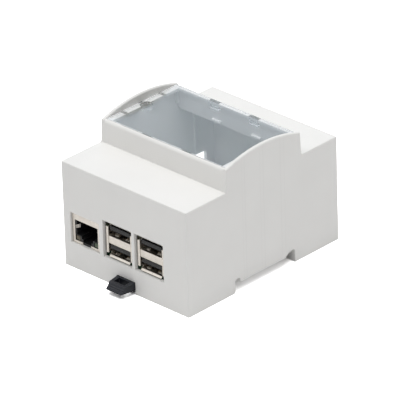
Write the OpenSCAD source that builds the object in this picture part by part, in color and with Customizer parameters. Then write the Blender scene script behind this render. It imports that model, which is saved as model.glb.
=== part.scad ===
// DIN rail housing, four modules wide, with a clear window and a single-board computer inside.
// The origin is on the rail seat, in the middle of the housing. The front wall with the sockets
// faces -Y, the window faces +Z, and the rail runs along X.

/* [Housing] */
// Width across the outer faces of the side walls
body_w = 71; // [70:0.5:80]
// Depth from the front wall's outer face to the rear wall's outer face
body_d = 90; // [89:0.5:96]
// Height of the shoulders above the rail seat
shoulder_h = 43.8; // [34:0.2:52]
// Height of the window rim above the shoulders
nose_h = 10.2; // [8:0.2:16]
// Depth of the nose at its foot
nose_d = 45.2; // [44:0.2:54]
// Distance of the nose's middle behind the housing's middle
nose_offset = 1; // [0:0.1:1.5]
// Distance that each long wall of the nose leans in over its height
nose_lean = 0.6; // [0.2:0.1:1.2]
// Rise of the arched side walls above the window rim
arch_rise = 3.8; // [2:0.2:6]
// Thickness of the housing walls
wall = 1.8; // [1.6:0.1:2.2]
// Thickness of the long walls at the window rim
rim_t = 1.2; // [1.2:0.1:1.8]
// Radius of the window rim's outer edge
rim_r = 1.6; // [0.5:0.1:1.8]
// Radius of the upright outer edges
edge_r = 0.5; // [0.3:0.1:1.4]
// Radius of the shoulder edges
shoulder_r = 0.4; // [0.2:0.1:1]
// Side-to-side thickness of a guide rib
rib_t = 1.2; // [0.8:0.1:1.6]
// Height of a guide rib above its wall
rib_p = 1; // [0.6:0.1:1.4]

/* [Rail seat] */
// Width of the rail
rail_w = 35; // [34:0.5:36]
// Thickness of the rail's flange
rail_t = 1; // [0.8:0.1:1.3]
// Gap between each edge of the rail and the feet
rail_gap = 0.4; // [0.2:0.1:0.7]
// Distance of the rail's middle behind the housing's middle
rail_offset = 0.5; // [0:0.1:1]
// Height of the feet below the rail seat
foot_h = 4.2; // [4.1:0.1:5]
// Radius at the foot's corner beside the rail
foot_r = 1.5; // [0.8:0.1:2]
// Height of the reliefs over the rail's edges
relief_h = 2.1; // [1.2:0.1:3]
// Reach of the fixed hook under the rail
hook_reach = 2; // [1.4:0.1:2.6]
// Length of the fixed hook along the rail
hook_w = 44; // [30:1:56]

/* [Window] */
// Thickness of the clear panel
panel_t = 1.4; // [1:0.1:2]
// Gap round the edge of the clear panel
panel_gap = 0.1; // [0.05:0.05:0.2]
// Thickness of the ledge below the panel
ledge_t = 1.2; // [0.8:0.1:1.6]
// Width of the ledge on the side walls
ledge_side = 2.6; // [2:0.1:3.4]
// Width of the ledge on the long walls
ledge_long = 1.3; // [1.1:0.1:2.2]
// Distance of the snap hooks and the ledge notches from the window's middle
snap_at = 11.2; // [9:0.2:14]
// Width of a snap hook
snap_w = 5; // [3:0.2:6]
// Thickness of a snap hook's leg
snap_t = 0.9; // [0.7:0.05:1]
// Radius of the round bosses under the panel
boss_r = 2.5; // [1.8:0.1:3]

/* [Base] */
// Thickness of the base's floor and upright walls
floor_t = 1.8; // [1.4:0.1:2.2]
// Gap between the base and the inside of the shell
base_gap = 0.15; // [0.1:0.05:0.25]
// Height of the base's upright walls above the rail seat
base_wall_h = 5.4; // [5:0.1:6]
// Height of the board's standoffs above the base's floor
standoff_h = 4.6; // [4.2:0.1:6]
// Diameter of the board's standoffs
standoff_d = 5.6; // [5:0.1:6.4]

/* [Rail clip] */
// Width of the sliding clip
clip_w = 10; // [8:0.2:12]
// Height of the clip's top face above the rail seat
clip_top = 1.3; // [1.1:0.1:1.6]
// Depth of the clip's bar below the rail seat
clip_low = 2.4; // [2.2:0.1:2.5]
// Length of the clip's tab outside the housing
tab_l = 7.6; // [6:0.2:10]
// Distance that the clip slides out to release the rail
clip_travel = 4; // [3:0.2:4.6]
// Reach of the clip's nose under the rail
clip_reach = 2; // [1.4:0.1:2.6]
// Gap between the clip and the faces that guide it
slide_gap = 0.15; // [0.1:0.05:0.25]
// Outer diameter of the clip's spring
spring_d = 2.8; // [2.2:0.1:2.9]
// Diameter of the spring's wire
wire_d = 0.35; // [0.25:0.05:0.45]

/* [Board] */
// Width of the board
board_w = 56; // [55:0.5:58]
// Thickness of the board
board_t = 1.4; // [1.2:0.1:1.6]
// Gap between the board and the walls at its side and rear
board_gap = 0.4; // [0.2:0.1:0.8]
// Distance of the connectors' faces behind the front wall's outer face
face_in = 0.9; // [0.5:0.1:1.4]
// Distance that the front connectors stand out past the board's edge
overhang = 2; // [1.6:0.1:2.4]
// Distance that the side connectors stand out past the board's edge
side_overhang = 1.6; // [1.2:0.1:1.9]
// Distance of the mounting holes from the board's edges
hole_edge = 3.5; // [3.2:0.1:4]
// Distance between the two rows of mounting holes along the board
hole_l = 58; // [57:0.5:60]
// Diameter of the screws' shanks
screw_d = 2.5; // [2:0.1:2.6]
// Length of the screws' shanks
screw_l = 6; // [5:0.2:6.2]
// Gap between a connector and the edge of its cut-out
port_gap = 0.25; // [0.15:0.05:0.5]

/* [Network jack] */
// Place of the jack's middle from the board's edge
jack_at = 10.25; // [10:0.05:10.6]
// Width of the jack
jack_w = 16; // [15.6:0.1:16.4]
// Height of the jack above the board
jack_h = 13.5; // [13:0.1:14]
// Length of the jack from front to back
jack_l = 21.3; // [18:0.1:22]
// Width of the plug's cavity
jack_cavity_w = 11.8; // [11.6:0.1:12.2]
// Thickness of the jack's metal shield
shield_t = 0.35; // [0.25:0.05:0.5]

/* [USB sockets] */
// Places of the two sockets' middles from the board's edge
usb_at = [29, 47]; // [26:0.5:50]
// Width of a socket's metal shell
usb_w = 13.1; // [12.9:0.1:13.5]
// Length of a socket from front to back
usb_l = 17.5; // [15:0.1:18]
// Height of each port's opening
usb_port_h = 5.1; // [5:0.05:5.3]
// Distance between the middles of the upper and the lower port
usb_pitch = 8.6; // [8.4:0.1:9]
// Height of the lower port's opening above the board
usb_low = 1.15; // [0.9:0.05:1.4]
// Reach of the flared edges at the sides of a socket's mouth
usb_flare = 1.4; // [1:0.1:1.5]
// Reach of the flared edges above and below a socket's mouth
usb_lip = 1.1; // [0.8:0.1:1.3]
// Thickness of the socket's sheet metal
usb_t = 0.3; // [0.25:0.05:0.4]
// Thickness of the tongue in each port
tongue_t = 1.8; // [1.6:0.1:1.9]

/* [Side connectors] */
// Place of the power socket's middle from the board's rear edge
power_at = 10.6; // [9:0.2:12]
// Place of the video socket's middle from the board's rear edge
video_at = 32; // [30:0.5:34]
// Place of the audio socket's middle from the board's rear edge
audio_at = 53.5; // [52:0.5:55]
// Radius of the audio socket's bore
audio_r = 1.78; // [1.7:0.02:1.9]
// Width of the cut-out round the power plug
power_cut_w = 12.4; // [11:0.2:14]
// Height of the cut-out round the power plug
power_cut_h = 10; // [8:0.2:10.4]
// Thickness of the sheet metal of the power and the video socket
side_t = 0.35; // [0.25:0.05:0.4]

/* [Hidden] */
$fn = 40;
eps = 0.01;
hw = body_w / 2;
hd = body_d / 2;
in_w = hw - wall;
in_d = hd - wall;
rim_z = shoulder_h + nose_h;
lean_angle = atan(nose_lean / nose_h);
nose_in = nose_d / 2 - nose_lean - rim_t;
arch_half = nose_d / 2 - nose_lean;
arch_r = (arch_half * arch_half + arch_rise * arch_rise) / (2 * arch_rise);
arch_cz = rim_z + arch_rise - arch_r;
panel_z = rim_z - panel_t;
ledge_z = panel_z - ledge_t;
open_w = in_w - ledge_side;
open_d = nose_in - ledge_long;
boss_x = in_w - boss_r - 0.4;
rail_y0 = rail_offset - rail_w / 2 - rail_gap;
rail_y1 = rail_offset + rail_w / 2 + rail_gap;
base_x = in_w - base_gap;
base_y = in_d - base_gap;
well_z = floor_t - foot_h;
snap_z = base_wall_h - 2.2;
snap_len = 6;
board_x0 = -in_w + board_gap;
face_y = -hd + face_in;
board_y0 = face_y + overhang;
board_y1 = in_d - board_gap + 0.1;
board_z = floor_t + standoff_h;
board_top = board_z + board_t;
hole_y1 = board_y1 - hole_edge;
hole_y0 = hole_y1 - hole_l;
hole_x0 = board_x0 + hole_edge;
hole_x1 = board_x0 + board_w - hole_edge;
side_face_x = board_x0 - side_overhang;
audio_lead = side_overhang - board_gap + 0.3;
usb_top = usb_low + usb_pitch + usb_port_h;
clip_half = clip_w / 2;
tunnel_half = clip_half + slide_gap;
tunnel_roof = clip_top + slide_gap + 0.05;
lip_half = clip_half - 1.4;
lip_top = -clip_low - slide_gap - 0.05;
flange_z = -rail_t - 0.2;
clip_tip = rail_offset - rail_w / 2 + clip_reach;
hook_tip = rail_offset + rail_w / 2 - hook_reach;
drop_y = rail_y0 - floor_t - 4.3;
lip_end = drop_y - clip_travel - 0.2;
post_y = -base_y + 2.05;
post_t = 1.4;
post_half = 1.4;
pocket_half = post_half + slide_gap + 0.05;
pocket_floor = -clip_low + 0.65;
spring_y0 = post_y + post_t + 0.05;
spring_y1 = drop_y - 4.5;
spring_z = pocket_floor + spring_d / 2 + 0.1;
card_x = board_x0 + board_w / 2;
card_cut_w = 15;
header_n = 20;
header_pitch = 2.54;
header_x = hole_x1;
header_y = (hole_y0 + hole_y1) / 2;

// Points of a round stretch, from angle a0 to angle a1
function arc(c, r, a0, a1, steps = 6) =
    [for (i = [0 : steps]) let (a = a0 + (a1 - a0) * i / steps) [c[0] + r * cos(a), c[1] + r * sin(a)]];

// Half depth of the leaning nose at height z
function nose_half(z) = nose_d / 2 - nose_lean * (z - shoulder_h) / nose_h;

// Outline of a connector mouth with two cut lower corners
function mouth(w, h, cut, t) =
    [[-w / 2 + t, cut], [-w / 2 + t, h - t], [w / 2 - t, h - t], [w / 2 - t, cut],
     [w / 2 - cut, t], [-w / 2 + cut, t]];

// Takes a profile drawn in (Y, Z) and extrudes it from x0 to x1
module prism_x(x0, x1) {
    translate([x0, 0, 0]) rotate([90, 0, 90]) linear_extrude(x1 - x0) children();
}

// Takes a profile drawn in (X, Z) and extrudes it from y0 to y1
module prism_y(y0, y1) {
    translate([0, y1, 0]) rotate([90, 0, 0]) linear_extrude(y1 - y0) children();
}

// A box given by its lowest and highest corners
module block(a, b) {
    translate(a) cube([b[0] - a[0], b[1] - a[1], b[2] - a[2]]);
}

// Rectangle with round corners, centred
module plate2d(w, d, r) {
    square([w - 2 * r, d], center = true);
    square([w, d - 2 * r], center = true);
    for (x = [-1, 1], y = [-1, 1]) translate([x * (w / 2 - r), y * (d / 2 - r)]) circle(r);
}

// What a rounding takes away from a square corner at the origin
module corner_cut(r, sx, sy) {
    difference() {
        translate([sx > 0 ? -r : -1, sy > 0 ? -r : -1]) square(r + 1);
        translate([-sx * r, -sy * r]) circle(r);
    }
}

module at_front(x) {
    translate([board_x0 + x, face_y, board_top]) children();
}

module at_left(from_rear) {
    translate([side_face_x, board_y1 - from_rear, board_top]) rotate([0, 0, -90]) children();
}

module at_holes() {
    for (x = [hole_x0, hole_x1], y = [hole_y0, hole_y1]) translate([x, y, 0]) children();
}

// ---- Upper shell ----

module side_profile() {
    difference() {
        polygon(concat([[-hd, -foot_h], [hd, -foot_h]],
            arc([hd - shoulder_r, shoulder_h - shoulder_r], shoulder_r, 0, 90),
            arc([-hd + shoulder_r, shoulder_h - shoulder_r], shoulder_r, 90, 180)));
        translate([rail_y0, -foot_h - 1]) square([rail_y1 - rail_y0, foot_h + 1]);
        translate([rail_y0, -foot_h]) corner_cut(foot_r, 1, -1);
        front_relief();
        rear_relief();
    }
}

// Round-topped notch over the rail's front edge
module front_relief() {
    translate([rail_y0, -1]) square([3, relief_h]);
    translate([rail_y0 + 0.9, relief_h - 1.1]) square([1.2, 1.1]);
    for (y = [0.9, 2.1]) translate([rail_y0 + y, relief_h - 0.9]) circle(0.9);
}

// Notch over the rail's rear edge, with one sloped side
module rear_relief() {
    polygon([[rail_y1 - 6, -1], [rail_y1 - 5.8, 0], [rail_y1 - 3.8, relief_h - 0.4],
        [rail_y1 - 3.1, relief_h], [rail_y1 - 0.8, relief_h], [rail_y1, relief_h - 0.8], [rail_y1, -1]]);
}

module lower_block() {
    intersection() {
        prism_x(-hw, hw) side_profile();
        translate([0, 0, -foot_h - 1]) linear_extrude(shoulder_h + foot_h + 2)
            plate2d(body_w, body_d, edge_r);
    }
}

// The nose up to the window rim, with leaning long walls and a round rim
module nose_profile() {
    z0 = shoulder_h - 1;
    side = rim_r * (1 / cos(lean_angle) - tan(lean_angle));
    c = nose_half(rim_z) - side;
    polygon(concat([[-nose_half(z0), z0], [nose_half(z0), z0]],
        arc([c, rim_z - rim_r], rim_r, lean_angle, 90),
        arc([-c, rim_z - rim_r], rim_r, 90, 180 - lean_angle)));
}

// One side wall's arch: a slice of a large disc with a round rim, cut to the nose's leaning walls
module arch_wall(s) {
    z0 = rim_z - rim_r - 1;
    z1 = rim_z + arch_rise + 1;
    intersection() {
        translate([s > 0 ? in_w : -hw, 0, arch_cz]) rotate([0, 90, 0]) rotate_extrude($fn = 360)
            difference() {
                square([arch_r, wall]);
                translate([arch_r, wall]) corner_cut(wall * 0.45, 1, 1);
                translate([arch_r, 0]) corner_cut(wall * 0.45, 1, -1);
            }
        prism_x(-hw, hw) polygon([[-nose_half(z0), z0], [nose_half(z0), z0],
            [nose_half(z1), z1], [-nose_half(z1), z1]]);
    }
}

module nose_block() {
    difference() {
        union() {
            prism_x(-hw, hw) nose_profile();
            for (s = [-1, 1]) arch_wall(s);
        }
        for (sx = [-1, 1], sy = [-1, 1])
            translate([sx * hw, sy * nose_d / 2, shoulder_h + 0.15]) rotate([sy * lean_angle, 0, 0])
                linear_extrude(nose_h + arch_rise + 2) corner_cut(edge_r, sx, sy);
    }
}

module nose_hollow() {
    foot = nose_half(shoulder_h - wall) - rim_t;
    prism_x(-in_w, in_w) polygon([[-foot, 0], [foot, 0], [foot, shoulder_h - wall],
        [nose_in, ledge_z - 2.6], [nose_in, ledge_z], [-nose_in, ledge_z], [-nose_in, ledge_z - 2.6],
        [-foot, shoulder_h - wall]]);
    block([-open_w, -open_d, 0], [open_w, open_d, rim_z + 1]);
    block([-in_w, -nose_in, panel_z], [in_w, nose_in, rim_z + arch_rise + 1]);
}

// Notches in the ledge for the panel's hooks and bosses, with the pockets that the hooks catch in
module ledge_notches() {
    for (x = [-snap_at, snap_at], s = [-1, 1]) translate([x, 0, 0]) {
        half = snap_w / 2 + 0.3;
        block([-half, s > 0 ? open_d - 1 : -nose_in, ledge_z - 1],
            [half, s > 0 ? nose_in : 1 - open_d, panel_z]);
        block([-half, s > 0 ? nose_in - 1 : -nose_in - 0.5, ledge_z - 2.2],
            [half, s > 0 ? nose_in + 0.5 : 1 - nose_in, ledge_z - 0.8]);
    }
    for (s = [-1, 1], y = [-snap_at, snap_at])
        block([s > 0 ? open_w - 1 : -in_w, y - 0.85, ledge_z - 1],
            [s > 0 ? in_w : 1 - open_w, y + 0.85, panel_z]);
    for (s = [-1, 1]) translate([s * boss_x, 0, ledge_z - 1]) cylinder(r = boss_r + 0.35, h = ledge_t + 1);
}

module front_cutouts() {
    at_front(jack_at) block([-jack_w / 2 - port_gap, -face_in - 1, -port_gap],
        [jack_w / 2 + port_gap, wall, jack_h + port_gap]);
    for (x = usb_at) at_front(x) {
        w = usb_w / 2 + usb_flare + port_gap;
        h = usb_t + usb_lip + port_gap;
        block([-w, -face_in - 1, usb_low - h], [w, wall, usb_top + h]);
    }
    block([-tunnel_half - 0.15, -hd - 1, -foot_h - 1], [tunnel_half + 0.15, -in_d + 1, tunnel_roof]);
}

module side_cutouts() {
    in = -hw - 1 - side_face_x;
    out = in + wall + 1 + eps;
    at_left(power_at) translate([0, 0, 3]) prism_y(in, out) plate2d(power_cut_w, power_cut_h, 1.5);
    at_left(video_at) translate([0, 0, 3]) prism_y(in, out) plate2d(16.4, 7.2, 1);
    at_left(audio_at) translate([0, in, 3]) rotate([-90, 0, 0]) cylinder(r = 3.5, h = out - in);
}

// Opening in the rear walls for the memory card and its socket
module card_cutout(y0) {
    block([card_x - card_cut_w / 2, y0, board_z - 3.2], [card_x + card_cut_w / 2, hd + 1, board_z + 0.6]);
}

module snap_pockets() {
    for (s = [-1, 1], y = [-30, 30])
        block([s > 0 ? in_w - 1 : -in_w - 0.75, y - snap_len / 2 - 0.3, snap_z - 0.1],
            [s > 0 ? in_w + 0.75 : 1 - in_w, y + snap_len / 2 + 0.3, snap_z + 1.8]);
}

// Upright ribs that guide boards, three on the right wall and one on the left
module guide_ribs() {
    for (y = [-11.5, -0.9, 0.9, 11.5])
        block([in_w - rib_p, y - rib_t / 2, board_top + 1], [in_w + eps, y + rib_t / 2, ledge_z - 0.8]);
    for (s = [0, 1]) mirror([s, 0, 0])
        block([in_w - rib_p, 31, board_top + 10], [in_w + eps, 31 + rib_t, shoulder_h - wall + eps]);
    translate([0, nose_offset, 0]) for (sx = [0, 1], sy = [0, 1]) mirror([sx, 0, 0]) mirror([0, sy, 0]) {
        block([in_w - 1.2, nose_in - 1.2, shoulder_h + 1],
            [in_w + eps, nose_in + nose_lean, ledge_z + eps]);
        translate([snap_at, nose_half(shoulder_h) - rim_t, shoulder_h - 1])
            block([-snap_w / 2, -0.9, 0], [snap_w / 2, 0.3, 0.9]);
    }
}

module upper_shell() {
    color("gainsboro") {
        difference() {
            union() {
                lower_block();
                translate([0, nose_offset, 0]) nose_block();
            }
            block([-in_w, -in_d, -foot_h - 1], [in_w, in_d, shoulder_h - wall]);
            translate([0, nose_offset, 0]) nose_hollow();
            translate([0, nose_offset, 0]) ledge_notches();
            front_cutouts();
            side_cutouts();
            card_cutout(in_d - 1);
            snap_pockets();
            for (sx = [-1, 1], sy = [-1, 1]) translate([sx * hw, 0, shoulder_h])
                prism_y(sy > 0 ? nose_offset + nose_d / 2 : -hd - 1,
                    sy > 0 ? hd + 1 : nose_offset - nose_d / 2)
                    corner_cut(shoulder_r, sx, 1);
        }
        guide_ribs();
    }
}

// ---- Base tray ----

// Underside of the base, which follows the feet and the rail seat
function base_underside() = concat([[-base_y, -foot_h]],
    arc([rail_y0 - foot_r, -foot_h + foot_r], foot_r, -90, 0),
    [[rail_y0, 0], [rail_y1, 0], [rail_y1, -foot_h], [base_y, -foot_h]]);

module base_floor_profile() {
    polygon(concat(base_underside(), [[base_y, well_z], [rail_y1 + floor_t, well_z],
        [rail_y1 + floor_t, floor_t], [rail_y0 - floor_t, floor_t], [rail_y0 - floor_t, well_z],
        [-base_y, well_z]]));
}

module base_walls() {
    t = floor_t - 0.2;
    for (s = [-1, 1]) prism_x(s > 0 ? base_x - t : -base_x, s > 0 ? base_x : t - base_x)
        polygon(concat(base_underside(), [[base_y, base_wall_h], [-base_y, base_wall_h]]));
    for (s = [-1, 1]) block([-base_x, s > 0 ? base_y - t : -base_y, -foot_h],
        [base_x, s > 0 ? base_y : t - base_y, base_wall_h]);
}

// Wedges that snap into the shell's side walls
module base_snaps() {
    for (s = [0, 1], y = [-30, 30]) mirror([s, 0, 0]) prism_y(y - snap_len / 2, y + snap_len / 2)
        polygon([[base_x - 0.5, snap_z], [base_x + 0.55, snap_z], [base_x + 0.55, snap_z + 0.4],
            [base_x, snap_z + 1.6], [base_x - 0.5, snap_z + 1.6]]);
}

// Hook that reaches under the rail's rear edge
module fixed_hook() {
    prism_x(-hook_w / 2, hook_w / 2) polygon([[rail_y1 + eps, flange_z], [hook_tip, flange_z],
        [hook_tip, flange_z - 0.8], [hook_tip + 1, -foot_h + 0.4], [rail_y1 + eps, -foot_h + 0.4]]);
}

module tunnel_walls() {
    block([-tunnel_half - 1.5, -base_y, -foot_h], [tunnel_half + 1.5, clip_tip + 1.7, tunnel_roof + 1.4]);
}

module tunnel_space() {
    block([-tunnel_half, -base_y - 1, -foot_h - 1], [tunnel_half, clip_tip + 0.2, tunnel_roof]);
}

module tunnel_fittings() {
    for (s = [-1, 1]) block([s > 0 ? lip_half : -tunnel_half - eps, -base_y, -foot_h],
        [s > 0 ? tunnel_half + eps : -lip_half, lip_end, lip_top]);
    block([-post_half, post_y, pocket_floor + 0.2], [post_half, post_y + post_t, tunnel_roof + eps]);
}

module base_tray() {
    color("lightgray") {
        difference() {
            union() {
                prism_x(-base_x, base_x) base_floor_profile();
                base_walls();
                at_holes() translate([0, 0, well_z]) cylinder(d = standoff_d, h = board_z - well_z);
                tunnel_walls();
                base_snaps();
            }
            block([-base_x - 1, rail_y0, -foot_h - 1], [base_x + 1, rail_y1, 0]);
            tunnel_space();
            card_cutout(base_y - floor_t - 1);
            at_holes() translate([0, 0, board_top - screw_l - 0.4]) cylinder(d = screw_d + 0.1, h = screw_l);
            block([-hook_w / 2 - 0.3, hook_tip - 0.2, -1], [hook_w / 2 + 0.3, rail_y1, floor_t + 1]);
        }
        tunnel_fittings();
        fixed_hook();
    }
}

// ---- Window panel ----

// One snap hook: a leg with a barb that points outwards
module snap_hook(s) {
    y1 = nose_in - 0.15;
    y0 = y1 - snap_t;
    mirror([0, s < 0 ? 1 : 0, 0]) prism_x(-snap_w / 2, snap_w / 2)
        polygon([[y0, panel_z + eps], [y0, ledge_z - 2.1], [y1, ledge_z - 2.1], [y1 + 0.45, ledge_z - 1.4],
            [y1 + 0.45, ledge_z - 0.95], [y1, ledge_z - 0.95], [y1, panel_z + eps]]);
}

module window_panel() {
    color("lightsteelblue", 0.4) translate([0, nose_offset, 0]) {
        block([-in_w + panel_gap, -nose_in + panel_gap, panel_z],
            [in_w - panel_gap, nose_in - panel_gap, rim_z]);
        for (x = [-snap_at, snap_at], s = [-1, 1]) translate([x, 0, 0]) snap_hook(s);
        for (s = [-1, 1]) translate([s * boss_x, 0, ledge_z - 0.4])
            cylinder(r = boss_r, h = ledge_t + 0.4 + eps);
    }
}

// ---- Rail clip and its spring ----

module clip_profile() {
    tab = -hd - tab_l;
    step = rail_y0 - floor_t - 2.3;
    polygon([[tab, -1.9], [tab + 0.9, -0.85], [tab + 1.15, -0.95], [tab + 1.5, -0.15], [tab + 1.75, -0.25],
        [tab + 2.3, clip_top - 0.45], [-hd, clip_top], [step, clip_top], [step, flange_z],
        [clip_tip, flange_z], [clip_tip, flange_z - 0.6], [clip_tip - 2.2, -foot_h + 0.3],
        [drop_y + 1.4, -foot_h + 0.3], [drop_y, -clip_low], [-hd, -clip_low]]);
}

module rail_clip() {
    front = clip_half - 0.8;
    color([0.12, 0.13, 0.16]) difference() {
        intersection() {
            prism_x(-clip_half, clip_half) clip_profile();
            translate([0, 0, -foot_h]) linear_extrude(foot_h + clip_top + 1)
                polygon([[-clip_half, -hd], [-front, -hd - tab_l - 1], [front, -hd - tab_l - 1],
                    [clip_half, -hd], [clip_half, clip_tip + 1], [-clip_half, clip_tip + 1]]);
        }
        block([-3.1, -hd - 4.1, -foot_h], [3.1, -hd - 0.8, clip_top + 1]);
        block([-pocket_half, post_y - 0.15, pocket_floor], [pocket_half, spring_y1 + 0.05, clip_top + 1]);
    }
}

// Coil wound along Y, swept as one mesh with a six-sided wire
module clip_spring() {
    turns = 6.5;
    steps = 12;
    sides = 6;
    rings = turns * steps;
    coil_r = (spring_d - wire_d) / 2;
    run = spring_y1 - spring_y0 - wire_d;
    points = [for (i = [0 : rings], k = [0 : sides - 1])
        let (a = 360 * i / steps, b = 360 * k / sides, r = coil_r + wire_d / 2 * cos(b))
        [r * cos(a), spring_y0 + wire_d / 2 + run * i / rings + wire_d / 2 * sin(b), spring_z + r * sin(a)]];
    walls = [for (i = [0 : rings - 1], k = [0 : sides - 1]) let (n = (k + 1) % sides)
        [i * sides + k, (i + 1) * sides + k, (i + 1) * sides + n, i * sides + n]];
    ends = [[for (k = [0 : sides - 1]) k], [for (k = [sides - 1 : -1 : 0]) rings * sides + k]];
    color("silver") polyhedron(points, concat(walls, ends), convexity = 4);
}

// ---- Board ----

module circuit_board() {
    color("darkgreen") difference() {
        translate([board_x0 + board_w / 2, (board_y0 + board_y1) / 2, board_z])
            linear_extrude(board_t) plate2d(board_w, board_y1 - board_y0, 3);
        at_holes() translate([0, 0, board_z - 1]) cylinder(d = screw_d + 0.25, h = board_t + 2);
    }
}

module board_screws() {
    head_d = screw_d * 1.8;
    color("silver") at_holes() difference() {
        union() {
            translate([0, 0, board_top - screw_l]) cylinder(d = screw_d, h = screw_l);
            translate([0, 0, board_top]) cylinder(d = head_d, h = 1.2);
            translate([0, 0, board_top + 1.2]) cylinder(d1 = head_d, d2 = head_d * 0.7, h = 0.5);
        }
        for (a = [0, 90]) rotate([0, 0, a]) block([-1.1, -0.25, board_top + 0.8], [1.1, 0.25, board_top + 3]);
    }
}

// ---- Network jack ----

// Stepped outline of the plug's cavity: body, latch and latch tip
module jack_cavity() {
    w = jack_cavity_w / 2;
    translate([-w, 3.6]) square([2 * w, jack_h - 3.2 - 3.6]);
    translate([-3.3, 2.2]) square([6.6, 1.4 + eps]);
    translate([-2.4, 0.9]) square([4.8, 1.3 + eps]);
}

module ethernet_shield() {
    w = jack_w / 2;
    t = shield_t;
    color("silver") at_front(jack_at) {
        difference() {
            block([-w, 0, 0], [w, jack_l, jack_h]);
            block([-w + t, t, -1], [w - t, jack_l - t, jack_h - t]);
            prism_y(-1, t + eps) union() {
                translate([-6.6, 1]) square([13.2, jack_h - 4]);
                translate([-2.4, -1]) square([4.8, 3]);
            }
        }
        for (s = [0, 1]) mirror([s, 0, 0]) translate([-6.6, 0, 0]) shield_spring();
    }
}

// Leaf bent into the mouth from its side, which touches the plug
module shield_spring() {
    translate([0, 0, 6.2]) linear_extrude(1.6)
        polygon([[-0.2, 0], [1.0, 2.2], [1.0, 2.5], [0.8, 2.5], [-0.5, shield_t], [-0.5, 0]]);
}

module ethernet_insert() {
    w = jack_w / 2 - shield_t;
    t = shield_t;
    color([0.08, 0.08, 0.09]) at_front(jack_at) difference() {
        block([-w, t, 0], [w, jack_l - t, jack_h - t]);
        prism_y(0, 13) jack_cavity();
        for (s = [-1, 1]) block([s > 0 ? 3.9 : -6.6, 0, 1], [s > 0 ? 6.6 : -3.9, 3, 3.3]);
        for (s = [-1, 1]) block([s > 0 ? 5.4 : -7.2, 0, 6], [s > 0 ? 7.2 : -5.4, 3.2, 8]);
    }
}

module ethernet_contacts() {
    top = jack_h - 3.2;
    color("gold") at_front(jack_at) for (i = [0 : 7]) translate([(i - 3.5) * 1.02, 0, 0])
        prism_x(-0.2, 0.2) polygon([[1.6, top], [4.2, top], [10.6, top - 2.1], [10.4, top - 2.45],
            [4, top - 0.4], [1.6, top - 0.4]]);
}

module jack_led(s) {
    at_front(jack_at) block([s > 0 ? 4 : -6.5, 0.3, 1], [s > 0 ? 6.5 : -4, 3, 3.2]);
}

module ethernet_led_left() {
    color("goldenrod") jack_led(-1);
}

module ethernet_led_right() {
    color("green") jack_led(1);
}

// ---- USB sockets ----

// One flared edge of a socket's mouth, drawn for the left side, from the inside of the shell's wall
module flare(len, reach) {
    tip = -reach - usb_t;
    linear_extrude(len) polygon([[0, 2], [0, 1.4], [tip + 0.1, 0], [tip, 0.2], [-usb_t, 2]]);
}

// Sheet-metal spring that rises from a port's floor
module port_spring() {
    prism_x(-1, 1) polygon([[1.9, -0.15], [1.9, 0.1], [2.9, 0.75], [3.6, 0.75], [5.6, 0.1], [5.6, -0.15],
        [5.2, -0.15], [3.5, 0.55], [3, 0.55], [2.3, -0.15]]);
}

module usb_shell(x) {
    w = usb_w / 2;
    t = usb_t;
    pw = w - t;
    color("silver") at_front(x) {
        difference() {
            block([-w, 1.4, usb_low - t], [w, usb_l, usb_top + t]);
            for (z = [0, usb_pitch]) block([-pw, 0, usb_low + z], [pw, usb_l - t, usb_low + z + usb_port_h]);
            block([-pw, 1.8, usb_low + usb_port_h + t], [pw, usb_l - t, usb_low + usb_pitch - t]);
        }
        for (s = [0, 1]) mirror([s, 0, 0]) block([-w, overhang + 0.5, 0], [t - w, usb_l, usb_low]);
        block([-pw - eps, 0.2, usb_low + usb_port_h], [pw + eps, 1.4 + eps, usb_low + usb_pitch]);
        for (s = [0, 1]) mirror([s, 0, 0]) translate([-pw, 0, usb_low + 0.4])
            flare(usb_top - usb_low - 0.8, usb_flare);
        translate([-pw + 0.5, 0, usb_low]) rotate([0, 90, 0]) mirror([1, 0, 0]) flare(2 * pw - 1, usb_lip);
        translate([-pw + 0.5, 0, usb_top]) rotate([0, 90, 0]) flare(2 * pw - 1, usb_lip);
        for (z = [0, usb_pitch], s = [-3.1, 3.1]) translate([s, 0, usb_low + z]) port_spring();
    }
}

module usb_insert(x) {
    pw = usb_w / 2 - usb_t - 0.05;
    color([0.08, 0.08, 0.09]) at_front(x) for (z = [0, usb_pitch]) {
        top = usb_low + z + usb_port_h - 0.8;
        block([-pw, 11, usb_low + z], [pw, usb_l - usb_t, usb_low + z + usb_port_h]);
        block([-5.6, 0.8, top - tongue_t], [5.6, 11 + eps, top]);
    }
}

module usb_contacts(x) {
    color("gold") at_front(x) for (z = [0, usb_pitch], c = [-3.5, -1, 1, 3.5])
        translate([c, 0, usb_low + z + usb_port_h - 0.8 - tongue_t])
            prism_x(-0.5, 0.5) polygon([[1.8, 0], [10.8, 0], [10.8, -0.2], [3.2, -0.35], [1.8, -0.15]]);
}

module usb_shell_left() {
    usb_shell(usb_at[0]);
}

module usb_insert_left() {
    usb_insert(usb_at[0]);
}

module usb_contacts_left() {
    usb_contacts(usb_at[0]);
}

module usb_shell_right() {
    usb_shell(usb_at[1]);
}

module usb_insert_right() {
    usb_insert(usb_at[1]);
}

module usb_contacts_right() {
    usb_contacts(usb_at[1]);
}

// ---- Side connectors ----

module socket_shell(w, h, l, cut) {
    color("silver") difference() {
        prism_y(0, l) polygon(mouth(w, h, cut, 0));
        prism_y(-1, l - side_t) polygon(mouth(w, h, cut, side_t));
    }
}

module hdmi_shell() {
    at_left(video_at) socket_shell(15, 5.8, 11.4, 1.9);
}

module hdmi_insert() {
    color([0.08, 0.08, 0.09]) at_left(video_at) {
        prism_y(6, 11.4 - side_t) polygon(mouth(15, 5.8, 1.9, side_t));
        block([-6, 1, 2.7], [6, 6 + eps, 3.9]);
    }
}

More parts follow.
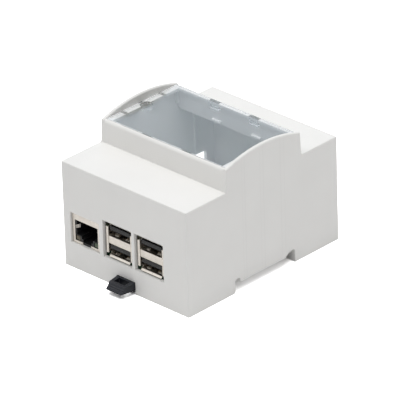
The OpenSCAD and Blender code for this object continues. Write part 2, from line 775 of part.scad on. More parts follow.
module power_socket_shell() {
    at_left(power_at) socket_shell(7.8, 2.9, 5.4, 0.9);
}

module power_socket_insert() {
    color([0.08, 0.08, 0.09]) at_left(power_at) {
        prism_y(3.6, 5.4 - side_t) polygon(mouth(7.8, 2.9, 0.9, side_t));
        block([-1.9, 0.8, 1.7], [1.9, 3.6 + eps, 2.2]);
    }
}

module audio_socket() {
    color([0.1, 0.1, 0.11]) at_left(audio_at) difference() {
        union() {
            block([-3.5, side_overhang, 0], [3.5, 13.5, 6]);
            translate([0, -0.3, 3]) rotate([-90, 0, 0]) cylinder(r = 3, h = side_overhang + 1);
        }
        translate([0, -1, 3]) rotate([-90, 0, 0]) cylinder(r = audio_r, h = 13);
        translate([0, -1, 3]) rotate([-90, 0, 0]) cylinder(r = audio_r + 0.25, h = 1 + audio_lead);
    }
}

// ---- Parts on the board ----

module at_header_pins() {
    half = (header_n - 1) / 2;
    translate([header_x, header_y, board_top]) for (i = [-half : half], j = [-0.5, 0.5])
        translate([j * header_pitch, i * header_pitch, 0]) children();
}

module pin_header() {
    color([0.08, 0.08, 0.09]) difference() {
        translate([header_x, header_y, board_top]) block([-header_pitch, -header_n * header_pitch / 2, 0],
            [header_pitch, header_n * header_pitch / 2, header_pitch]);
        at_header_pins() block([-0.32, -0.32, -1], [0.32, 0.32, header_pitch + 1]);
    }
}

module header_pins() {
    color("gold") at_header_pins() block([-0.32, -0.32, 0], [0.32, 0.32, 8.5]);
}

// Ribbon socket: a low body with a slot along its top
module ribbon_socket(len) {
    color([0.93, 0.92, 0.88]) difference() {
        block([-len / 2, -2, 0], [len / 2, 2, 3.8]);
        block([-len / 2 + 2, -0.3, 1.2], [len / 2 - 2, 0.5, 5]);
    }
}

// Latch that presses the ribbon down, resting on the socket's top
module ribbon_latch(len) {
    color([0.12, 0.12, 0.13]) difference() {
        block([-len / 2, -2, 3.8], [len / 2, 2, 5.2]);
        block([-len / 2 + 2, -0.3, 3], [len / 2 - 2, 0.5, 6]);
    }
}

module at_camera() {
    translate([board_x0 + 11.5, board_y1 - 45, board_top]) children();
}

module at_display() {
    translate([board_x0 + board_w / 2, board_y1 - 4.2, board_top]) children();
}

module camera_connector() {
    at_camera() ribbon_socket(21);
}

module camera_latch() {
    at_camera() ribbon_latch(21);
}

module display_connector() {
    at_display() ribbon_socket(21);
}

module display_latch() {
    at_display() ribbon_latch(21);
}

// Flat chip with a bevelled top edge and a dot at its first corner
module chip(w, d, h) {
    color([0.1, 0.1, 0.11]) difference() {
        union() {
            block([-w / 2, -d / 2, 0], [w / 2, d / 2, h - 0.3]);
            block([-w / 2 + 0.25, -d / 2 + 0.25, 0], [w / 2 - 0.25, d / 2 - 0.25, h]);
        }
        translate([-w / 2 + 1.4, d / 2 - 1.4, h - 0.15]) cylinder(r = 0.5, h = 1);
    }
}

module processor() {
    translate([board_x0 + 30, board_y1 - 27, board_top]) chip(14, 14, 1.3);
}

module hub_chip() {
    translate([board_x0 + 29, board_y0 + 24, board_top]) chip(9, 9, 1);
}

module power_chip() {
    translate([board_x0 + 13, board_y1 - 16, board_top]) chip(5, 5, 0.9);
}

module crystal() {
    color("silver") translate([board_x0 + 20, board_y0 + 24, board_top]) {
        linear_extrude(2.6) plate2d(4.6, 9, 2.2);
        linear_extrude(0.4) plate2d(5.2, 9.8, 2.5);
    }
}

// Capacitors and coils, spread in rows between the larger parts
module small_parts() {
    color([0.55, 0.47, 0.36]) {
        for (i = [0 : 6]) translate([hole_x1 - 12, board_y1 - 16 - i * 3.2, board_top])
            block([-0.8, -0.4, 0], [0.8, 0.4, 0.8]);
        for (i = [0 : 5]) translate([board_x0 + 20.4, board_y1 - 18 - i * 3, board_top])
            block([-0.4, -0.8, 0], [0.4, 0.8, 0.7]);
        for (i = [0 : 4]) translate([board_x0 + 22 + i * 3.4, board_y1 - 38.6, board_top])
            block([-0.8, -0.4, 0], [0.8, 0.4, 0.8]);
        for (i = [0 : 2]) translate([board_x0 + 10 + i * 4.2, board_y1 - 10, board_top])
            block([-1.5, -1.5, 0], [1.5, 1.5, 1.6]);
        translate([hole_x1 - 8, board_y0 + 25, board_top]) linear_extrude(2.2) plate2d(5, 5, 0.8);
    }
}

module card_socket() {
    w = 7;
    color("silver") translate([card_x, board_y1, board_z]) difference() {
        block([-w, -15, -1.7], [w, 0, 0]);
        block([-w + 0.5, -14, -1.35], [w - 0.5, 1, -0.15]);
        block([-3.5, -3, -3], [3.5, 1, -1]);
    }
}

module memory_card() {
    color([0.1, 0.1, 0.11]) translate([card_x, board_y1, board_z]) difference() {
        block([-5.5, -13.1, -1.35], [5.5, wall + board_gap - 0.4, -0.35]);
        block([4.4, -14, -2], [6, -7, 0]);
    }
}

upper_shell();
base_tray();
window_panel();
rail_clip();
clip_spring();
circuit_board();
board_screws();
ethernet_shield();
ethernet_insert();
ethernet_contacts();
ethernet_led_left();
ethernet_led_right();
usb_shell_left();
usb_insert_left();
usb_contacts_left();
usb_shell_right();
usb_insert_right();
usb_contacts_right();
hdmi_shell();
hdmi_insert();
power_socket_shell();
power_socket_insert();
audio_socket();
pin_header();
header_pins();
camera_connector();
camera_latch();
display_connector();
display_latch();
processor();
hub_chip();
power_chip();
crystal();
small_parts();
card_socket();
memory_card();
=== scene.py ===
"""Looks for the DIN rail enclosure: materials, small detail, light, floor and camera.

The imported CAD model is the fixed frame. Everything is in metres in its frame: X along the rail,
-Y towards the sockets, +Z towards the window, with the origin on the rail seat. Sizes that are
said to be in mm are turned into metres where they are used.
"""

import math

import bmesh
import bpy
from mathutils import Matrix, Vector


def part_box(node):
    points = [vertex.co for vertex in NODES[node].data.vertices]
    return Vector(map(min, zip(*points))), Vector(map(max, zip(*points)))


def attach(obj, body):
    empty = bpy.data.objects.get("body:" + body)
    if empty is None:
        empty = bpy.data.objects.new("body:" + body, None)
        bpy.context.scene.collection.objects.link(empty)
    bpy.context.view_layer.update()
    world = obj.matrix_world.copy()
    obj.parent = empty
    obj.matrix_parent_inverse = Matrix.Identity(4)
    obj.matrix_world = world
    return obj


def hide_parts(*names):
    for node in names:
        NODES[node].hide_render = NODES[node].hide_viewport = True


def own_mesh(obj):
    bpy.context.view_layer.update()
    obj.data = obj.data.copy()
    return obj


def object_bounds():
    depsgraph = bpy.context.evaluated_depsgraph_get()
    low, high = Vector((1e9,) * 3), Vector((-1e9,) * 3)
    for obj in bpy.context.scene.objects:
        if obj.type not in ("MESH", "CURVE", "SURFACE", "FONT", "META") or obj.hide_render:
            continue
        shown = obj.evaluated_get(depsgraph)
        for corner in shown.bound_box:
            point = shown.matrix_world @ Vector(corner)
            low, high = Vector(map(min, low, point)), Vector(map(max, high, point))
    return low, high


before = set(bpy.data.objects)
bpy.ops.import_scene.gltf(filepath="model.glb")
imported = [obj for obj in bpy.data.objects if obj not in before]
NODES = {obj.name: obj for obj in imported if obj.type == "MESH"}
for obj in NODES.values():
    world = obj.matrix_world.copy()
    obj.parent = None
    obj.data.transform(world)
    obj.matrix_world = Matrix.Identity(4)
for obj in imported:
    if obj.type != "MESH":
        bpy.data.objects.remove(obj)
cad_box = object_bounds()
MM = 0.001

# ---- Camera: the photograph's viewing angle, lens and sensor in mm ----
CAM_AZIMUTH = math.radians(44.6615)
CAM_ELEVATION = math.radians(27.7827)
CAM_ROLL = math.radians(-1.8198)
CAM_DISTANCE = 2.2908
CAM_TARGET = Vector((0.004833, -0.00541, 0.023637))
CAM_LENS = 501.418
CAM_SENSOR = 36
CAM_NEAR = 0.1
CAM_FAR = 100

# ---- Light ----
# Strength of the world for light that falls on the object, and for what it mirrors
WORLD_LEVEL = 0.51
WORLD_SHINE = 0.95
# Direction of the photographer's side, where the world is dimmer, and how squarely a ray has to
# point that way for the dimming to begin and to be full
DIM_TOWARDS = (0.704, -0.704, 0.1)
DIM_RAMP = (0.4, 0.85)
DIM_SHARE = 0.3
# Cool screen on the opposite side
BACK_SHINE = (1.14, 1.27, 1.42)
BACK_RAMP = (-0.2, -0.75)
SOFTBOX_POWER = 11.3
SOFTBOX_SIZE = 1.2
SOFTBOX_PLACE = Vector((0.15, -0.2, 1.3))
SOFTBOX_AIM = Vector((0, 0, 0.02))
# Brightness of the floor as a source of light, and as the camera sees it
FLOOR_LIT = (0.92, 0.92, 0.92)
FLOOR_SEEN = (2.6, 2.6, 2.6)
FLOOR_HALF = 30.0

# ---- Colours, linear ----
HOUSING = (0.885, 0.879, 0.86)
BASE = (0.83, 0.825, 0.81)
CLEAR_TINT = (0.97, 0.985, 1.0)
CLEAR_SHADOW = (0.985, 0.992, 1.0)
CLIP = (0.0125, 0.0145, 0.021)
TIN = (0.78, 0.73, 0.665)
STEEL = (0.56, 0.56, 0.55)
GOLD = (0.88, 0.62, 0.26)
# Gold of the socket contacts, darkened as painted shade deep inside the ports
SHADED_GOLD = (0.26, 0.21, 0.13)
BLACK = (0.012, 0.012, 0.013)
RESIN = (0.022, 0.022, 0.024)
PALE = (0.78, 0.75, 0.68)
MASK = (0.010, 0.085, 0.030)
AMBER = (0.085, 0.068, 0.035)
GREEN = (0.035, 0.065, 0.025)
CERAMIC = (0.34, 0.24, 0.14)
# Lighter colour on the chips' edges is a painted highlight
CERAMIC_EDGE_HIGHLIGHT = (0.5, 0.42, 0.32)

# ---- Material settings ----
# Noise values mostly lie in this range
NOISE_RANGE = (0.3, 0.7)
# Likeness of the rounded and the real normal, on flat faces and on edges
EDGE_RAMP = (0.995, 0.85)
BEVEL_SAMPLES = 4
# Depth and half width of the faint lines of painted shade on the right-hand wall, mm
SINKS = ((-12.0, 0.3), (-10.4, 0.5), (-1.3, 0.3), (0.6, 0.4), (10.8, 0.5), (13.0, 0.3))
# Darkening of that painted shade, its strength, and how squarely a face must point along +X to get
# it
SINK_PAINTED_SHADE = 0.93
SINK_SHADE_SHARE = 0.5
SINK_FACING = 0.95

# ---- Double sockets, mm ----
SHEET = 0.3
USB_W = 13.1
USB_L = 17.5
USB_LOW = 1.15
USB_PITCH = 8.6
PORT_H = 5.1
# Distance of the walls, plates and skirts from the mouth, and of the skirts from the rear
WALL_FRONT = 1.9
PLATE_FRONT = 1.2
SKIRT_FRONT = 2.5
SKIRT_BACK = 1
# Side lips: bend, distance of their front and root from the mouth, reach, gaps below and above
LIP_BEND = 0.5
LIP_FRONT = 0.05
LIP_ROOT = 2.2
SIDE_LIP = 1.2
SIDE_LIP_GAPS = (0.8, 0.9)
# Upper and lower lips: reach, depth, and gap at the corners
UPPER_LIP = (1.3, 1.4, 0.5)
LOWER_LIP = (0.8, 0.75, 0.45)
# Bar between the ports: gap at the sides, and front and back
BAR_GAP = 0.1
BAR_DEPTHS = (0.3, 1.7)
# Springs: distance from the middle, half width, and depth and height of the leaf's outline
SPRING_X = 3.1
LEAF_HALF = 1
LEAF = ((1.9, 0.02), (2.2, 0.22), (2.6, 0.5), (2.95, 0.7), (3.3, 0.76), (3.7, 0.72), (4.6, 0.45),
        (5.6, 0.1))
# Pressings in the roof over the springs: half width, front and back, height
PRESSING_HALF = 1.1
PRESSING_DEPTHS = (4, 9.5)
PRESSING_H = 0.14

# ---- Spring, lenses, chip ends and plated rings, mm ----
WIRE = 0.35
WIRE_SIDES = 12
TURNS = 6.5
TURN_STEPS = 28
CLOSED_TURNS = 0.8
LENS_ROUND = 0.5
# Share of a chip's length that a tinned end takes, and how far it stands out
END_SHARE = 0.2
END_OVER = 0.03
HEAD_D = 4.5
# Outline of a ring: distance from the edge of the screw's head, and height
RING = ((-0.2, 0.0), (0.85, 0.0), (0.8, 0.04), (-0.2, 0.04))
RING_STEPS = 48

SHARP_ANGLE = math.radians(38)


# ---- Node helpers ----


def scaled(colour, factor, lift=0.0):
    """The colour times a factor, with a lift, and no channel over 1."""
    return tuple(min(c * factor + lift, 1) for c in colour)


class Tree:
    """Adds nodes to a material or a world, and links them. Sizes are in mm."""

    def __init__(self, owner, output="ShaderNodeOutputMaterial", coordinates="Object"):
        self.owner = owner
        owner.use_nodes = True
        self.nt = owner.node_tree
        self.nt.nodes.clear()
        self.out = self.nt.nodes.new(output)
        self.place = self.nt.nodes.new("ShaderNodeTexCoord").outputs[coordinates]

    def add(self, kind, inputs=None, **settings):
        node = self.nt.nodes.new(kind)
        for key, value in settings.items():
            setattr(node, key, value)
        for key, value in (inputs or {}).items():
            self.put(node.inputs[key], value)
        return node

    def put(self, socket, value):
        if isinstance(value, bpy.types.NodeSocket):
            self.nt.links.new(value, socket)
        elif isinstance(value, bpy.types.Node):
            self.nt.links.new(value.outputs[0], socket)
        elif socket.type == "RGBA":
            socket.default_value = (*value, 1)
        else:
            socket.default_value = value

    def math(self, operation, a, b=0.0):
        return self.add("ShaderNodeMath", {0: a, 1: b}, operation=operation).outputs[0]

    def vector(self, operation, a, b):
        return self.add("ShaderNodeVectorMath", {0: a, 1: b}, operation=operation).outputs

    def along(self, vector, axis):
        return self.add("ShaderNodeSeparateXYZ", {0: vector}).outputs[axis]

    def normal(self):
        return self.add("ShaderNodeNewGeometry").outputs["Normal"]

    def mix(self, factor, a, b):
        inputs = {"Factor": factor, 6: a, 7: b}
        return self.add("ShaderNodeMix", inputs, data_type="RGBA").outputs[2]

    def ramp(self, value, start, end, low=0.0, high=1.0, smooth=False):
        """Low where the value is at start, high where it is at end, and no further."""
        inputs = {"Value": value, "From Min": start, "From Max": end, "To Min": low, "To Max": high}
        kind = "SMOOTHSTEP" if smooth else "LINEAR"
        return self.add("ShaderNodeMapRange", inputs, interpolation_type=kind).outputs[0]

    def noise(self, size, detail=2, rough=0.5, stretch=None):
        """Noise whose features are about size across, from 0 to 1."""
        place = self.place
        if stretch:
            place = self.vector("MULTIPLY", place, stretch)[0]
        inputs = {"Vector": place, "Scale": 1 / (size * MM), "Detail": detail, "Roughness": rough}
        return self.add("ShaderNodeTexNoise", inputs).outputs["Fac"]

    def spread(self, value, low, high):
        """Turns a noise value into a range from low to high."""
        return self.ramp(value, *NOISE_RANGE, low, high)

    def shade(self, colour, by, amount):
        """The colour made lighter and darker by a share of amount, as the value by says."""
        factor = self.spread(by, 0, 1)
        return self.mix(factor, scaled(colour, 1 - amount), scaled(colour, 1 + amount))

    def rounded(self, radius):
        """The normal as it would be with rounded edges."""
        inputs = {"Radius": radius * MM}
        return self.add("ShaderNodeBevel", inputs, samples=BEVEL_SAMPLES).outputs[0]

    def edges(self, radius):
        """1 on edges and 0 on flat faces, from how far a rounded normal leaves the real one."""
        likeness = self.vector("DOT_PRODUCT", self.rounded(radius), self.normal())["Value"]
        return self.ramp(likeness, *EDGE_RAMP)

    def bump(self, height, distance, strength, normal=None):
        inputs = {"Height": height, "Distance": distance * MM, "Strength": strength}
        if normal is not None:
            inputs["Normal"] = normal
        return self.add("ShaderNodeBump", inputs).outputs[0]

    def close(self, kind, inputs):
        """Adds the last shader, links it to the output, and gives back the material or world."""
        self.put(self.out.inputs[0], self.add(kind, inputs))
        return self.owner

    def principled(self, colour, roughness, normal, more=None):
        inputs = {"Base Color": colour, "Roughness": roughness, "Normal": normal, **(more or {})}
        return self.close("ShaderNodeBsdfPrincipled", inputs)


def new_material(name):
    return Tree(bpy.data.materials.new(name))


# ---- Materials ----


def painted_sink_shade(t, places):
    """1 on narrow upright lines of the right-hand wall, where ribs behind it pull it in; the colour
    there is darkened as painted shade of the shallow dents.
    """
    depth = t.along(t.place, 1)
    facing = t.along(t.normal(), 0)
    lines = 0.0
    for place, width in places:
        away = t.math("ABSOLUTE", t.math("SUBTRACT", depth, place * MM))
        lines = t.math("ADD", lines, t.ramp(away, 0.0, width * MM, 1.0, 0.0, smooth=True))
    return t.math("MULTIPLY", lines, t.math("GREATER_THAN", facing, SINK_FACING))


def plastic(name, colour, rough, grain, depth, edge, painted_edge_light=0.06, variation=0.012, specular=0.5,
            sinks=()):
    """Moulded plastic: spark-eroded grain, faint flow clouds, softened edges with a painted
    highlight.

    The grain, its depth and the radius of the edges are in mm. An edge setting under 0 darkens the
    edges as painted shade instead.
    """
    t = new_material(name)
    base = t.shade(colour, t.noise(18, detail=3), variation)
    if sinks:
        # Painted shade along the sink lines
        lines = t.math("MULTIPLY", painted_sink_shade(t, sinks), SINK_SHADE_SHARE)
        base = t.mix(lines, base, scaled(colour, SINK_PAINTED_SHADE))
    # Edges painted lighter as a highlight, and darker as painted shade when the edge setting is
    # under 0
    base = t.mix(t.edges(edge), base, scaled(colour, 1 + painted_edge_light, max(painted_edge_light, 0) * 0.05))
    normal = t.bump(t.noise(grain, rough=0.6), depth, 0.6, t.rounded(edge))
    roughness = t.spread(t.noise(4, detail=3), rough - 0.04, rough + 0.04)
    return t.principled(base, roughness, normal, {"Specular IOR Level": specular})


def clear_plastic():
    """Clear moulded plastic that lets light through to what it covers."""
    t = new_material("clear_plastic")
    haze = t.spread(t.noise(6, detail=3), 0.015, 0.05)
    ripple = t.bump(t.noise(14, detail=1), 0.04, 0.3)
    tint = t.shade(CLEAR_TINT, t.noise(30), 0.01)
    glass = t.add("ShaderNodeBsdfPrincipled",
                  {"Base Color": tint, "Roughness": haze, "Normal": ripple,
                   "Transmission Weight": 1.0, "IOR": 1.49})
    through = t.add("ShaderNodeBsdfTransparent", {"Color": CLEAR_SHADOW})
    path = t.add("ShaderNodeLightPath").outputs
    light = t.math("MAXIMUM", path["Is Shadow Ray"], path["Is Diffuse Ray"])
    return t.close("ShaderNodeMixShader", {0: light, 1: glass, 2: through})


def sheet_metal(name, colour, rough, rolled=None):
    """Plated sheet: fine lines if it is rolled, dull patches, edges painted brighter as a
    highlight.
    """
    t = new_material(name)
    base = t.shade(colour, t.noise(2.5, detail=4), 0.08)
    # Painted highlight on the edges
    base = t.mix(t.edges(0.12), base, scaled(colour, 1.12))
    normal = t.bump(t.noise(0.5, rough=0.6, stretch=rolled), 0.01, 0.4)
    roughness = t.spread(t.noise(1.6, detail=3), rough - 0.07, rough + 0.08)
    return t.principled(base, roughness, normal, {"Metallic": 1.0})


def solder_mask():
    """Green lacquer over copper, whose tracks stand out faintly under it."""
    t = new_material("solder_mask")
    cells = t.add("ShaderNodeTexVoronoi", {"Vector": t.place, "Scale": 1 / (2.6 * MM)},
                  distance="CHEBYCHEV", feature="DISTANCE_TO_EDGE").outputs["Distance"]
    tracks = t.ramp(cells, 0.05, 0.09, 1.0, 0.0)
    base = t.shade(MASK, t.noise(9, detail=3), 0.12)
    base = t.mix(t.math("MULTIPLY", tracks, 0.8), base, scaled(MASK, 1.9, 0.01))
    normal = t.bump(tracks, 0.035, 0.5)
    roughness = t.spread(t.noise(3, detail=3), 0.22, 0.34)
    return t.principled(base, roughness, normal, {"Coat Weight": 0.3, "Coat Roughness": 0.2})


def lens(name, colour):
    """Tinted clear resin over a small lamp that is off."""
    t = new_material(name)
    base = t.shade(colour, t.noise(1.2), 0.15)
    roughness = t.spread(t.noise(0.8), 0.12, 0.25)
    normal = t.bump(t.noise(0.9, detail=1), 0.01, 0.3)
    return t.principled(base, roughness, normal, {"Coat Weight": 0.2, "Coat Roughness": 0.1})


def ceramic_parts():
    """Tan ceramic of the small chips, whose tinned ends are a piece of their own."""
    t = new_material("ceramic_parts")
    base = t.shade(CERAMIC, t.noise(1.5, detail=3), 0.15)
    # Painted highlight on the edges
    base = t.mix(t.edges(0.15), base, CERAMIC_EDGE_HIGHLIGHT)
    roughness = t.spread(t.noise(0.5), 0.3, 0.45)
    normal = t.bump(t.noise(0.3), 0.01, 0.5)
    return t.principled(base, roughness, normal)


def dress(material, *names):
    """Puts one material on CAD nodes."""
    for name in names:
        mesh = NODES[name].data
        mesh.materials.clear()
        mesh.materials.append(material)


def dress_all():
    # The housing's edges get painted shade; the clip's, the black parts' and the chips' edges get
    # painted highlights
    dress(plastic("housing_plastic", HOUSING, rough=0.5, grain=0.28, depth=0.02, edge=0.25,
                  painted_edge_light=-0.08, sinks=SINKS), "upper_shell")
    dress(plastic("base_plastic", BASE, rough=0.52, grain=0.28, depth=0.02, edge=0.25), "base_tray")
    dress(clear_plastic(), "window_panel")
    dress(plastic("clip_plastic", CLIP, rough=0.36, grain=0.2, depth=0.012, edge=0.2, painted_edge_light=1.2,
                  variation=0.1, specular=0.4), "rail_clip")
    dress(sheet_metal("tinned_shield", TIN, 0.32, (1, 1, 12)),
          "ethernet_shield", "usb_shell_left", "usb_shell_right", "hdmi_shell",
          "power_socket_shell", "card_socket", "crystal")
    dress(sheet_metal("plated_steel", STEEL, 0.3), "board_screws")
    dress(sheet_metal("spring_steel", STEEL, 0.22), "clip_spring")
    dress(sheet_metal("gold_contact", GOLD, 0.25, (1, 6, 1)), "header_pins")
    # Contacts deep inside the sockets, darkened as painted shade
    dress(sheet_metal("shaded_contact", SHADED_GOLD, 0.3, (1, 6, 1)),
          "ethernet_contacts", "usb_contacts_left", "usb_contacts_right")
    dress(plastic("black_plastic", BLACK, rough=0.42, grain=0.15, depth=0.01, edge=0.1, painted_edge_light=0.8,
                  variation=0.15),
          "ethernet_insert", "usb_insert_left", "usb_insert_right", "hdmi_insert",
          "power_socket_insert", "audio_socket", "pin_header", "camera_latch", "display_latch")
    dress(plastic("chip_resin", RESIN, rough=0.5, grain=0.1, depth=0.008, edge=0.08, painted_edge_light=0.7,
                  variation=0.12),
          "processor", "hub_chip", "power_chip", "memory_card")
    dress(plastic("pale_plastic", PALE, rough=0.45, grain=0.2, depth=0.01, edge=0.1),
          "camera_connector", "display_connector")
    dress(lens("amber_lens", AMBER), "ethernet_led_left")
    dress(lens("green_lens", GREEN), "ethernet_led_right")
    dress(ceramic_parts(), "small_parts")
    dress(solder_mask(), "circuit_board")


# ---- Pieces ----


class Shape:
    """Collects solids in one mesh, in millimetres from a given origin in metres."""

    def __init__(self, origin=(0, 0, 0)):
        self.bm = bmesh.new()
        self.origin = Vector(origin)

    def box(self, a, b, radius=0.08, steps=2):
        """A block with rounded edges between two corners."""
        middle = (Vector(a) + Vector(b)) / 2
        size = Vector(b) - Vector(a)
        place = Matrix.Translation(middle) @ Matrix.Diagonal((*size, 1))
        made = bmesh.ops.create_cube(self.bm, size=1, matrix=place)["verts"]
        edges = {edge for vert in made for edge in vert.link_edges}
        radius = min(radius, min(size) * 0.49)
        bmesh.ops.bevel(self.bm, geom=list(edges), offset=radius, segments=steps, profile=0.5,
                        affect="EDGES")

    def prism(self, outline, a, b, place):
        """A closed outline stretched from a to b; place turns (u, v, along) into x, y and z."""
        self.tube([[place(u, v, w) for u, v in outline] for w in (a, b)])

    def tube(self, rings):
        """Joins rings of points into one tube with closed ends."""
        verts = [[self.bm.verts.new(p) for p in ring] for ring in rings]
        count = len(verts[0])
        for one, two in zip(verts, verts[1:]):
            for i in range(count):
                j = (i + 1) % count
                self.bm.faces.new((one[i], one[j], two[j], two[i]))
        self.bm.faces.new(verts[0][::-1])
        self.bm.faces.new(verts[-1])

    def piece(self, name, material, slot, *nodes, body="housing"):
        """Makes the object, and lets it stand for these CAD nodes."""
        bmesh.ops.recalc_face_normals(self.bm, faces=self.bm.faces)
        for vert in self.bm.verts:
            vert.co = self.origin + vert.co * MM
        mesh = bpy.data.meshes.new(name)
        self.bm.to_mesh(mesh)
        self.bm.free()
        mesh.shade_smooth()
        mesh.set_sharp_from_angle(angle=SHARP_ANGLE)
        mesh.materials.append(material)
        made = bpy.data.objects.new(name, mesh)
        bpy.context.collection.objects.link(made)
        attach(made, body)
        if nodes:
            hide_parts(*nodes)
        return made


def flat_lip(reach):
    """Section of a lip bent round into the front plane: outward and depth, from inside the wall."""

    def bend(radius):
        turn = [math.radians(180 + 15 * i) for i in range(7)]
        return [(LIP_BEND + radius * math.cos(a), LIP_FRONT + LIP_BEND + radius * math.sin(a))
                for a in turn]

    tip = [(reach - 0.08, 0.1), (reach, 0.18), (reach, 0.12 + SHEET), (reach - 0.1, 0.14 + SHEET)]
    front, back = bend(LIP_BEND), bend(LIP_BEND - SHEET)[::-1]
    return [(0, LIP_ROOT), *front, *tip, *back, (SHEET, LIP_ROOT)]


def sloped_lip(reach, depth):
    """Section of a lip that slopes outward to the front."""
    return [(0, depth + 0.8), (0, depth), (0.06, depth * 0.8), (reach - 0.1, 0.02),
            (reach - 0.02, 0.02), (reach, 0.14), (SHEET + 0.1, depth * 0.95), (SHEET, depth + 0.8)]


def port_spring(shape, x, z):
    """Arched leaf that rises from the floor of a port."""
    under = [(y + 0.05, h - 0.2) for y, h in reversed(LEAF)]
    shape.prism([*LEAF, *under], -LEAF_HALF, LEAF_HALF, lambda u, v, w: (x + w, u, z + v))


def usb_shell(node, material):
    """Sheet-metal shell of a double socket, with bent lips round its mouth."""
    low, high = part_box(node)
    shape = Shape(((low[0] + high[0]) / 2, low[1], low[2]))
    side, wall = USB_W / 2, USB_W / 2 - SHEET
    floor = USB_LOW
    top = floor + USB_PITCH + PORT_H
    for s in (-1, 1):
        a, b = sorted((s * side, s * wall))
        shape.box((a, WALL_FRONT, floor - SHEET), (b, USB_L, top + SHEET))
        shape.box((a, SKIRT_FRONT, 0), (b, USB_L - SKIRT_BACK, floor), radius=0.05)
        shape.prism(flat_lip(SIDE_LIP), floor + SIDE_LIP_GAPS[0], top - SIDE_LIP_GAPS[1],
                    lambda u, v, z: (s * (wall + u), v, z))
    shape.box((-side, PLATE_FRONT, top), (side, USB_L, top + SHEET))
    shape.box((-side, PLATE_FRONT, floor - SHEET), (side, USB_L, floor))
    shape.box((-side, USB_L - SHEET, floor - SHEET), (side, USB_L, top + SHEET))
    for (reach, depth, gap), z, s in ((UPPER_LIP, top, 1), (LOWER_LIP, floor, -1)):
        shape.prism(sloped_lip(reach, depth), -wall + gap, wall - gap,
                    lambda u, v, x: (x, v, z + s * u))
    shape.box((-wall + BAR_GAP, BAR_DEPTHS[0], floor + PORT_H),
              (wall - BAR_GAP, BAR_DEPTHS[1], floor + USB_PITCH), radius=0.3, steps=4)
    for z in (floor + PORT_H, floor + USB_PITCH - SHEET):
        shape.box((-wall, PLATE_FRONT, z), (wall, USB_L - SHEET, z + SHEET), radius=0.05)
    for z in (floor, floor + USB_PITCH):
        for x in (-SPRING_X, SPRING_X):
            port_spring(shape, x, z)
    for x in (-SPRING_X, SPRING_X):
        shape.box((x - PRESSING_HALF, PRESSING_DEPTHS[0], top + SHEET - 0.02),
                  (x + PRESSING_HALF, PRESSING_DEPTHS[1], top + SHEET + PRESSING_H),
                  radius=0.12, steps=3)
    shape.piece(node + "_detail", material, "tinned_shield", node)


def lamp_lens(node, material):
    """Moulded lens of a small lamp in the jack, rounded to the front."""
    low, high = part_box(node)
    size = [(b - a) / MM for a, b in zip(low, high)]
    shape = Shape(low)
    shape.box((0, 0, 0), size, radius=LENS_ROUND, steps=5)
    slot = "amber_lens" if node.endswith("left") else "green_lens"
    shape.piece(node + "_dome", material, slot, node)


def coil_spring(node, material):
    """Wound wire with closed end turns, which the clip presses together as it slides out; here it
    is built at one length and is not made to squash.
    """
    low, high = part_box(node)
    middle = [(a + b) / 2 for a, b in zip(low, high)]
    shape = Shape((middle[0], low[1], middle[2]))
    radius = (high[0] - low[0]) / 2 / MM - WIRE / 2
    run = (high[1] - low[1]) / MM - WIRE
    pitch = (run - 2 * CLOSED_TURNS * WIRE) / (TURNS - 2 * CLOSED_TURNS)
    rings = []
    steps = int(TURNS * TURN_STEPS)
    for i in range(steps + 1):
        turn = TURNS * i / steps
        # The first and last turns rise by one wire, and the turns between them by the pitch
        y = WIRE * min(turn, CLOSED_TURNS)
        y += pitch * max(0, min(turn, TURNS - CLOSED_TURNS) - CLOSED_TURNS)
        y += WIRE / 2 + WIRE * max(0, turn - (TURNS - CLOSED_TURNS))
        a = 2 * math.pi * turn
        ring = []
        for k in range(WIRE_SIDES):
            b = 2 * math.pi * k / WIRE_SIDES
            r = radius + WIRE / 2 * math.cos(b)
            ring.append((r * math.cos(a), y + WIRE / 2 * math.sin(b), r * math.sin(a)))
        rings.append(ring)
    shape.tube(rings)
    spring = shape.piece(node + "_coil", material, "spring_steel", node)
    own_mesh(spring)


def islands(node):
    """Lowest and highest corners of each separate solid in a node's mesh."""
    bm = bmesh.new()
    bm.from_mesh(NODES[node].data)
    left = set(bm.verts)
    found = []
    while left:
        front = [left.pop()]
        group = []
        while front:
            vert = front.pop()
            group.append(vert.co)
            for edge in vert.link_edges:
                other = edge.other_vert(vert)
                if other in left:
                    left.remove(other)
                    front.append(other)
        found.append(tuple([end(c[i] for c in group) for i in range(3)] for end in (min, max)))
    bm.free()
    return sorted(found)


def tinned_ends(material):
    """Tinned ends on the small chips of the board."""
    shape = Shape()
    for low, high in islands("small_parts"):
        low = [c / MM for c in low]
        high = [c / MM for c in high]
        axis = 0 if high[0] - low[0] >= high[1] - low[1] else 1
        length = (high[axis] - low[axis]) * END_SHARE
        for side in (0, 1):
            a = [c - END_OVER for c in low]
            b = [c + END_OVER for c in high]
            a[2] = low[2]
            if side:
                a[axis] = high[axis] - length
            else:
                b[axis] = low[axis] + length
            shape.box(a, b, radius=0.05)
    shape.piece("chip_ends", material, "tinned_shield")


def hole_rings(material):
    """Plated rings on the board round its screws."""
    low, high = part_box("board_screws")
    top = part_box("circuit_board")[1][2]
    shape = Shape((0, 0, top))
    half = HEAD_D / 2
    for x in (low[0] / MM + half, high[0] / MM - half):
        for y in (low[1] / MM + half, high[1] / MM - half):
            rings = []
            for i in range(RING_STEPS + 1):
                a = 2 * math.pi * i / RING_STEPS
                rings.append([(x + (half + away) * math.cos(a), y + (half + away) * math.sin(a), z)
                              for away, z in RING])
            shape.tube(rings)
    shape.piece("hole_rings", material, "gold_contact")


def finish_of(node):
    """The material that a CAD node wears."""
    return NODES[node].data.materials[0]


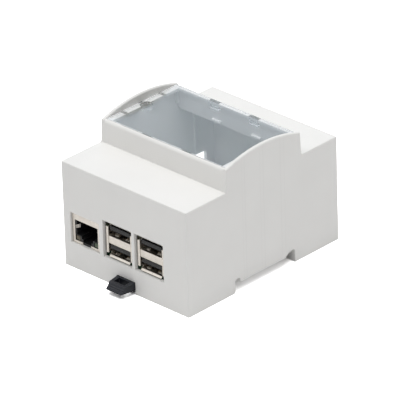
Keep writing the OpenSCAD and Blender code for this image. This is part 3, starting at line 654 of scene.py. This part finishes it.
def make_pieces():
    for node in ("usb_shell_left", "usb_shell_right"):
        usb_shell(node, finish_of(node))
    for node in ("ethernet_led_left", "ethernet_led_right"):
        lamp_lens(node, finish_of(node))
    coil_spring("clip_spring", finish_of("clip_spring"))
    tinned_ends(finish_of("ethernet_shield"))
    hole_rings(finish_of("header_pins"))


# ---- Floor, light and camera ----


def seen_rays(t):
    """1 for rays from the camera or clear plastic, and 0 for light that falls on the object."""
    path = t.add("ShaderNodeLightPath").outputs
    return t.math("MAXIMUM", path["Is Camera Ray"], path["Is Transmission Ray"])


def make_floor():
    mesh = bpy.data.meshes.new("floor")
    corners = [(x * FLOOR_HALF, y * FLOOR_HALF, cad_box[0][2])
               for x, y in ((-1, -1), (1, -1), (1, 1), (-1, 1))]
    mesh.from_pydata(corners, [], [(0, 1, 2, 3)])
    floor = bpy.data.objects.new("floor", mesh)
    bpy.context.collection.objects.link(floor)
    t = new_material("floor")
    colour = t.mix(seen_rays(t), FLOOR_LIT, FLOOR_SEEN)
    mesh.materials.append(t.close("ShaderNodeBsdfDiffuse", {"Color": colour}))


def make_world():
    """Even studio light, dimmer on the photographer's side, with a cool screen opposite.

    Only what mirrors its surroundings shows the screen. The camera sees plain white.
    """
    world = bpy.data.worlds.new("world")
    bpy.context.scene.world = world
    t = Tree(world, "ShaderNodeOutputWorld", "Generated")
    mirrored = t.add("ShaderNodeLightPath").outputs["Is Glossy Ray"]
    towards = t.vector("DOT_PRODUCT", t.place, DIM_TOWARDS)["Value"]
    dim = t.ramp(towards, *DIM_RAMP, 1.0, DIM_SHARE, smooth=True)
    level = t.ramp(mirrored, 0.0, 1.0, WORLD_LEVEL, WORLD_SHINE)
    level = t.math("MAXIMUM", t.math("MULTIPLY", level, dim), seen_rays(t))
    behind = t.math("MULTIPLY", t.ramp(towards, *BACK_RAMP, smooth=True), mirrored)
    colour = t.mix(behind, (1, 1, 1), BACK_SHINE)
    t.close("ShaderNodeBackground", {"Color": colour, "Strength": level})


def make_softbox():
    light = bpy.data.lights.new("softbox", "AREA")
    light.shape = "SQUARE"
    light.size = SOFTBOX_SIZE
    light.energy = SOFTBOX_POWER
    lamp = bpy.data.objects.new("softbox", light)
    bpy.context.collection.objects.link(lamp)
    lamp.location = SOFTBOX_PLACE
    lamp.rotation_euler = (SOFTBOX_AIM - SOFTBOX_PLACE).to_track_quat("-Z", "Y").to_euler()


def make_camera():
    level = math.cos(CAM_ELEVATION)
    back = Vector((math.sin(CAM_AZIMUTH) * level, -math.cos(CAM_AZIMUTH) * level,
                   math.sin(CAM_ELEVATION)))
    right = Vector((math.cos(CAM_AZIMUTH), math.sin(CAM_AZIMUTH), 0))
    up = back.cross(right)
    side = math.cos(CAM_ROLL) * right + math.sin(CAM_ROLL) * up
    top = -math.sin(CAM_ROLL) * right + math.cos(CAM_ROLL) * up
    turn = Matrix((side, top, back)).transposed().to_4x4()
    data = bpy.data.cameras.new("camera")
    data.sensor_fit = "HORIZONTAL"
    data.sensor_width = CAM_SENSOR
    data.lens = CAM_LENS
    data.clip_start = CAM_NEAR
    data.clip_end = CAM_FAR
    camera = bpy.data.objects.new("camera", data)
    bpy.context.collection.objects.link(camera)
    camera.matrix_world = Matrix.Translation(CAM_TARGET + back * CAM_DISTANCE) @ turn
    bpy.context.scene.camera = camera


dress_all()
make_pieces()
make_floor()
make_world()
make_softbox()
make_camera()
bpy.context.scene.view_settings.view_transform = "Standard"
